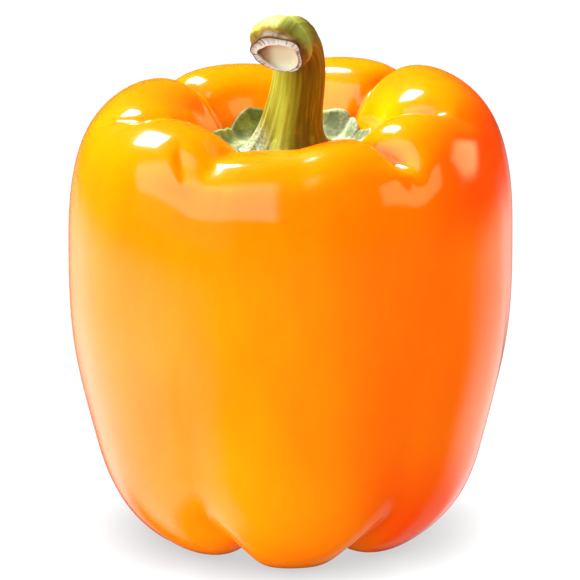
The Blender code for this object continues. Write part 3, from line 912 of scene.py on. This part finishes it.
# Painted light and shade in the base colour: painted shade on the left and top, on the right, on the right
# shoulder, at the right foot and in the folds; painted light at the front foot and in the hollow; a
# painted highlight streak.
LEFT_TOP_PAINTED_SHADE = (0.95, 0.124, 0.0)
FRONT_ORANGE = (0.95, 0.155, 0.0)
FOOT_PAINTED_LIGHT = (0.95, 0.18, 0.0)
HOLLOW_PAINTED_LIGHT = (0.95, 0.21, 0.0)
RIGHT_PAINTED_SHADE = (0.95, 0.137, 0.0)
STREAK_PAINTED_HIGHLIGHT = (0.95, 0.24, 0.0)
RIGHT_SHOULDER_PAINTED_SHADE = (0.95, 0.068, 0.0)
FOLD_PAINTED_SHADE = (0.95, 0.066, 0.0)
BLUSH = (1.0, 1.12, 1.0)
# Painted shade: deeper orange on the left and on top.
skin_colour = colour(tree, fade(tree, x, -0.036, -0.008), LEFT_TOP_PAINTED_SHADE, FRONT_ORANGE)
skin_colour = colour(tree, fade(tree, z, 0.056, 0.078), skin_colour, LEFT_TOP_PAINTED_SHADE)
# Painted light: more amber near the front foot.
front_foot_light_mask = times(tree, fade(tree, z, 0.036, 0.012), fade(tree, x, -0.032, -0.012))
skin_colour = colour(tree, front_foot_light_mask, skin_colour, FOOT_PAINTED_LIGHT)
# Painted shade: a little deeper orange on the right.
skin_colour = colour(tree, times(tree, fade(tree, x, 0.006, 0.019), 0.9), skin_colour, RIGHT_PAINTED_SHADE)
# A painted highlight: a pale amber streak low on the front left.
squat = stretched(tree, where, (1.0, 1.0, 0.4))
streak = spot(tree, squat, (-0.008, -0.039, 0.009), 0.011)
skin_colour = colour(tree, times(tree, streak, 0.45), skin_colour, STREAK_PAINTED_HIGHLIGHT)
# Painted light: most amber inside the stalk hollow.
skin_colour = colour(tree, inside, skin_colour, HOLLOW_PAINTED_LIGHT)
# Painted shade: reddest on the right shoulder.
shoulder = times(tree, fade(tree, z, 0.062, 0.074), fade(tree, z, 0.092, 0.083))
skin_colour = colour(tree, times(tree, fade(tree, x, 0.021, 0.037), shoulder), skin_colour, RIGHT_SHOULDER_PAINTED_SHADE)
# Painted shade: deep red at the right foot.
right_foot = times(tree, fade(tree, x, 0.010, 0.022), fade(tree, z, 0.030, 0.008))
skin_colour = colour(tree, right_foot, skin_colour, FOLD_PAINTED_SHADE)
# Painted shade: deep red in the grooves.
in_groove = fade(tree, groove, 0.3, 1.0)
skin_colour = colour(tree, times(tree, in_groove, 0.5), skin_colour, FOLD_PAINTED_SHADE)
blush = noise(tree, stretched(tree, where, (1.0, 1.0, 0.35)), scale=90.0, detail=3.0, roughness=0.6)
skin_colour = colour(tree, fade(tree, blush, 0.35, 0.7), skin_colour, brighter(tree, skin_colour, BLUSH))
tree.links.new(skin_colour, shader.inputs["Base Color"])
shader.inputs["Roughness"].default_value = 0.11
shader.inputs["Specular IOR Level"].default_value = 0.3
shader.inputs["Subsurface Weight"].default_value = 0.35
shader.inputs["Subsurface Radius"].default_value = (1.0, 0.35, 0.05)
shader.inputs["Subsurface Scale"].default_value = 0.006
fruit.data.materials.append(skin)
print("the skin's finish has", len(tree.nodes), "nodes")

# %% [markdown]
# The calyx is leaf: dark and yellow-green patches under a dry white frost, which is thickest near
# the stem and on the right. A fine noise breaks the frost into specks.

# %% Calyx finish
leaf, tree, shader = new_tree("pepper_calyx")
where = add(tree, "TexCoord", output=3)
x = add(tree, "SeparateXYZ", {"Vector": where}, output=0)
reach = add(tree, "Attribute", attribute_name="reach", output=2)
LEAF_DARK = (0.05, 0.07, 0.002)
LEAF_GREEN = (0.16, 0.18, 0.01)
FROST = (0.22, 0.27, 0.17)
patches = noise(tree, where, scale=230.0, detail=4.0, roughness=0.6)
frost = noise(tree, where, scale=1500.0, detail=5.0, roughness=0.8)
green = colour(tree, fade(tree, patches, 0.38, 0.62), LEAF_DARK, LEAF_GREEN)
right_side, near_stem = fade(tree, x, 0.004, 0.010), fade(tree, reach, 0.9, 0.55)
thick = add(tree, "Math", {0: right_side, 1: near_stem}, operation="MAXIMUM")
cover = add(tree, "Math", {0: times(tree, thick, 0.13), 1: frost}, operation="ADD")
dimples = fade(tree, patches, 0.42, 0.56)
frosted = colour(tree, times(tree, fade(tree, cover, 0.53, 0.69), dimples), green, FROST)
tree.links.new(frosted, shader.inputs["Base Color"])
tree.links.new(bump(tree, frost, 0.5, 0.0004), shader.inputs["Normal"])
shader.inputs["Roughness"].default_value = 0.75
calyx.data.materials.append(leaf)
print("the calyx's finish has", len(tree.nodes), "nodes")

# %% [markdown]
# The stem is yellow-green on the left and turns olive and then brown towards the right, partly its
# own colour and partly painted shade and painted orange bounce light from the fruit, with streaks
# along its fibres. The knob is paler, with an ochre side, an olive-brown bruise, and an ochre band
# above the cut that darkens to a thin dark line at its edge. On the cut face radial fibres lie round
# a cream rim and the pith, whose left side is darkened with a painted shadow. The straightened
# coordinates let the streaks follow the hook.

# %% Stem finish
# Partly the stalk's own colour and partly painted shade, with painted orange bounce light from the fruit
# towards the right.
STALK_COLOURS_AND_PAINTED_SHADE = (
    # x in metres, colour
    (-0.0050, (0.12, 0.105, 0.004)),
    (-0.0022, (0.19, 0.20, 0.018)),
    (-0.0006, (0.13, 0.12, 0.006)),
    (0.0014, (0.095, 0.07, 0.002)),
    (0.0034, (0.095, 0.062, 0.001)),
    (0.0052, (0.13, 0.085, 0.001)),
)
KNOB_GREEN = (0.21, 0.225, 0.035)
KNOB_OCHRE = (0.15, 0.09, 0.004)
BRUISE = (0.075, 0.05, 0.008)
CUT_BAND_OCHRE = (0.12, 0.07, 0.005)
CUT_EDGE_DARK = (0.035, 0.016, 0.004)
STREAK_LIGHT = (1.5, 1.5, 2.0)
FOOT_FROST = (0.24, 0.30, 0.22)
FIBRE_GAP = (0.085, 0.08, 0.07)
FIBRE = (0.26, 0.31, 0.29)
RIM_CREAM = (0.31, 0.28, 0.22)
PITH_PAINTED_SHADOW = (0.13, 0.10, 0.05)
PITH_CREAM = (0.27, 0.30, 0.21)
stem_length = float(run[-1])

stalk, tree, shader = new_tree("pepper_stem")
where = add(tree, "TexCoord", output=3)
x = add(tree, "SeparateXYZ", {"Vector": where}, output=0)
z = add(tree, "SeparateXYZ", {"Vector": where}, output=2)
flow = add(tree, "Attribute", attribute_name="straight", output=1)
inward = add(tree, "Attribute", attribute_name="inward", output=2)
streaks = noise(tree, stretched(tree, flow, (1.0, 1.0, 0.07)), scale=1.5, detail=4.0, roughness=0.55)
shake = add(tree, "Math", {0: streaks, 1: 0.5}, operation="SUBTRACT")
shifted = add(tree, "Math", {0: times(tree, shake, 0.004), 1: x}, operation="ADD")
green = ramp(tree, shifted, STALK_COLOURS_AND_PAINTED_SHADE)
at = add(tree, "SeparateXYZ", {"Vector": flow}, output=2)
from_cut = add(tree, "Math", {0: stem_length, 1: at}, operation="SUBTRACT")
green = colour(tree, fade(tree, from_cut, 8.0, 4.5), green, KNOB_GREEN)
green = colour(tree, spot(tree, flow, (-5.0, -1.0, stem_length - 2.5), 3.2), green, KNOB_OCHRE)
green = colour(tree, spot(tree, flow, (2.6, -4.8, stem_length - 1.6), 2.8), green, BRUISE)
ragged = noise(tree, where, scale=700.0, detail=3.0, roughness=0.6)
# An ochre band above the cut, darkening to a thin dark line right at its edge.
cut_band = add(tree, "Math", {0: times(tree, ragged, -2.4), 1: from_cut}, operation="ADD")
green = colour(tree, fade(tree, cut_band, 1.4, 0.2), green, CUT_BAND_OCHRE)
green = colour(tree, times(tree, fade(tree, cut_band, 0.1, -0.5), 0.8), green, CUT_EDGE_DARK)
light_streaks = times(tree, fade(tree, from_cut, 3.0, 9.0), fade(tree, streaks, 0.5, 0.72))
green = colour(tree, light_streaks, green, brighter(tree, green, STREAK_LIGHT))
dust = noise(tree, where, scale=2200.0, detail=4.0, roughness=0.75)
foot = times(tree, fade(tree, z, 0.0835, 0.078), fade(tree, x, -0.003, -0.0065))
green = colour(tree, times(tree, foot, fade(tree, dust, 0.40, 0.62)), green, FOOT_FROST)
radial = add(tree, "VectorMath", {0: flow, 1: (1.0, 1.0, 0.0)}, operation="MULTIPLY")
radial = add(tree, "VectorMath", {0: radial}, operation="NORMALIZE")
strands = noise(tree, radial, scale=9.0, detail=3.0, roughness=0.7)
fibres = colour(tree, fade(tree, strands, 0.36, 0.52), FIBRE_GAP, FIBRE)
across_face = add(tree, "SeparateXYZ", {"Vector": flow}, output=0)
# Painted shadow: the sunken pith is darker brown on its left side.
pith = colour(tree, fade(tree, across_face, -3.6, -0.6), PITH_PAINTED_SHADOW, PITH_CREAM)
face = colour(tree, fade(tree, inward, 0.78, 0.86), fibres, RIM_CREAM)
face = colour(tree, fade(tree, inward, 1.02, 1.08), face, pith)
whole = colour(tree, fade(tree, inward, 0.1, 0.24), green, face)
tree.links.new(whole, shader.inputs["Base Color"])
tree.links.new(bump(tree, streaks, 0.25, 0.0004), shader.inputs["Normal"])
shader.inputs["Roughness"].default_value = 0.55
shader.inputs["Specular IOR Level"].default_value = 0.1
stem.data.materials.append(stalk)
print("the stem's finish has", len(tree.nodes), "nodes")

# %% [markdown]
# ## Floor and light
#
# The pepper stands on an over-exposed white table, so the floor glows by itself. All that is left
# of the shadow is where the lobes come close to it, and it is painted into the floor's glow from an
# ambient occlusion node, which measures how much of the near surroundings is covered. Its normal
# is tilted to the front left, so the painted shadow falls longer on the right.

# %% Floor
FLOOR_HALF = 4.0
SHADOW_REACH = 0.011
SHADOW_TILT = Vector((-0.8, -0.55, 0.25)).normalized()
paper, tree, shader = new_tree("floor_paper")
sockets = {"Distance": SHADOW_REACH, "Normal": tuple(SHADOW_TILT)}
open_sky = add(tree, "AmbientOcclusion", sockets, output=1)
# Painted shadow: the floor's glow dims where the lobes cover its near surroundings.
sockets = {"Value": open_sky, "From Min": 0.1, "From Max": 0.9, "To Min": 0.6, "To Max": 1.05}
glow = add(tree, "MapRange", sockets)
shader.inputs["Base Color"].default_value = (0.04, 0.04, 0.04, 1.0)
shader.inputs["Emission Color"].default_value = (1.0, 1.0, 1.0, 1.0)
tree.links.new(glow, shader.inputs["Emission Strength"])
shader.inputs["Roughness"].default_value = 0.9
shader.inputs["Specular IOR Level"].default_value = 0.0
floor_mesh = bpy.data.meshes.new("floor")
corners = [(x * FLOOR_HALF, y * FLOOR_HALF, 0.0) for x, y in ((-1, -1), (1, -1), (1, 1), (-1, 1))]
floor_mesh.from_pydata(corners, [], [(0, 1, 2, 3)])
floor = bpy.data.objects.new("floor", floor_mesh)
floor_mesh.materials.append(paper)
scene.collection.objects.link(floor)
floor.visible_glossy = False
print("the floor's shadow reaches", SHADOW_REACH / MM, "mm")

# %% [markdown]
# A small hard lamp high behind the left shoulder gives the white spots on the crests. Two wide
# fills brighten the flanks. They don't show in reflections, because a glossy skin would mirror
# them as hard-edged panels. All three shine on the pepper only, so they don't burn out the floor.

# %% Lights
LIGHT_AIM = Vector((0.0, 0.0, 0.05))
LAMP_DISTANCE = 1.0


def panel(name, azimuth, elevation, width, height, power):
    """A rectangular area light that faces the pepper, LAMP_DISTANCE away from its middle."""
    lamp = bpy.data.lights.new(name, "AREA")
    lamp.shape = "RECTANGLE"
    lamp.size, lamp.size_y = width, height
    lamp.energy = power
    return place(name, lamp, LIGHT_AIM + towards(azimuth, elevation) * LAMP_DISTANCE, LIGHT_AIM)


key = panel("key", -144.0, 48.0, width=0.32, height=0.32, power=48.0)
left_fill = panel("left_fill", -55.0, 15.0, width=1.0, height=0.5, power=24.0)
right_fill = panel("right_fill", 110.0, 12.0, width=0.6, height=0.4, power=5.0)
for lamp in (left_fill, right_fill):
    lamp.visible_glossy = False

pepper = bpy.data.collections.new("pepper")
for piece in (fruit, calyx, stem):
    pepper.objects.link(piece)
for lamp in (key, left_fill, right_fill):
    lamp.light_linking.receiver_collection = pepper
    print(lamp.name, "gives", lamp.data.energy, "W")

# %% [markdown]
# What the glossy skin mirrors is painted into the world as patches of light: a big soft window on
# the left, two smaller warm ones on the right, and the glow of the white table below them. Lamps
# could do it, but a reflection on a curved shoulder needs edges at exact directions. So each patch
# is bounded by great circles, and each edge has its own softness.

# %% World
world = bpy.data.worlds.new("studio")
scene.world = world
world.use_nodes = True
tree = world.node_tree
way = add(tree, "TexCoord", output=0)
flat_way = add(tree, "VectorMath", {0: way, 1: (1.0, 1.0, 0.0)}, operation="MULTIPLY")
flat_way = add(tree, "VectorMath", {0: flat_way}, operation="NORMALIZE")


def facing(azimuth, outer, inner):
    """1 within an angle of inner degrees of an azimuth, and an eased fall to 0 at outer."""
    sockets = {0: flat_way, 1: tuple(towards(azimuth, 0.0))}
    dot = add(tree, "VectorMath", sockets, output=1, operation="DOT_PRODUCT")
    return fade(tree, dot, math.cos(math.radians(outer)), math.cos(math.radians(inner)))


def softbox(strength, corners, softness):
    """A patch of light, its corners given as (azimuth, elevation). Each edge is a great circle,
    and the light eases in from it over its own softness, the sine of an angle."""
    ways = [towards(*corner) for corner in corners]
    middle = sum(ways, Vector())
    share = strength
    for start, end, soft in zip(ways, ways[1:] + ways[:1], softness):
        edge = start.cross(end).normalized()
        edge = edge if edge.dot(middle) > 0 else -edge
        dot = add(tree, "VectorMath", {0: way, 1: tuple(edge)}, output=1, operation="DOT_PRODUCT")
        share = times(tree, fade(tree, dot, 0.0, soft), share)
    return share


DARK_ROOM = 0.03
WHITE, WARM = (1.0, 1.0, 1.0), (1.0, 1.0, 0.44)
rise = add(tree, "SeparateXYZ", {"Vector": way}, output=2)
far_table = times(tree, fade(tree, rise, -0.13, -0.40), fade(tree, rise, -0.64, -0.48))
near_table = times(tree, fade(tree, rise, -0.48, -0.64), fade(tree, rise, -0.93, -0.8))
TABLE_GLOW = (
    # part of the table, azimuth, angles where the glow ends and where it is full, strength
    (far_table, -105.0, 72.0, 20.0, 2.4),
    (far_table, 140.0, 38.0, 12.0, 1.3),
    (near_table, -95.0, 52.0, 15.0, 2.0),
    (near_table, 140.0, 34.0, 12.0, 0.4),
)
SOFTBOXES = (
    # strength, tint, softness of each edge, corners as (azimuth, elevation)
    (3.8, WHITE, (0.08, 0.03, 0.25, 0.08), ((-83.0, 11.0), (-5.0, 26.0), (-97.0, 86.0), (-106.0, 38.0))),
    (4.2, WARM, (0.05, 0.06, 0.08, 0.05), ((51.0, 22.0), (81.0, 18.0), (94.0, 44.0), (58.0, 45.0))),
    (5.5, WARM, (0.16,) * 5, ((99.0, 8.0), (118.0, 0.0), (141.0, 16.0), (133.0, 36.0), (101.0, 34.0))),
)
patches = [
    (times(tree, times(tree, part, facing(azimuth, outer, inner)), strength), WHITE)
    for part, azimuth, outer, inner, strength in TABLE_GLOW
]
patches += [(softbox(strength, corners, soft), tint) for strength, tint, soft, corners in SOFTBOXES]
light = (DARK_ROOM,) * 3
for share, tint in patches:
    tinted = add(tree, "VectorMath", {0: tint, "Scale": share}, operation="SCALE")
    light = add(tree, "VectorMath", {0: light, 1: tinted}, operation="ADD")
tree.links.new(light, tree.nodes["Background"].inputs[0])
tree.nodes["Background"].inputs[1].default_value = 1.0
print(len(patches), "patches of light, and", len(tree.nodes), "nodes in the world")
scene.view_settings.view_transform = "Standard"

# %% [markdown]
# ## Hand over
#
# Each fine piece rides on the pepper's one body and takes the place of the solid node that it was
# drawn after.

# %% Hand over to the frame
for piece, node in ((fruit, "fruit"), (calyx, "calyx"), (stem, "stem")):
    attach(piece, "root")
    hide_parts(node)
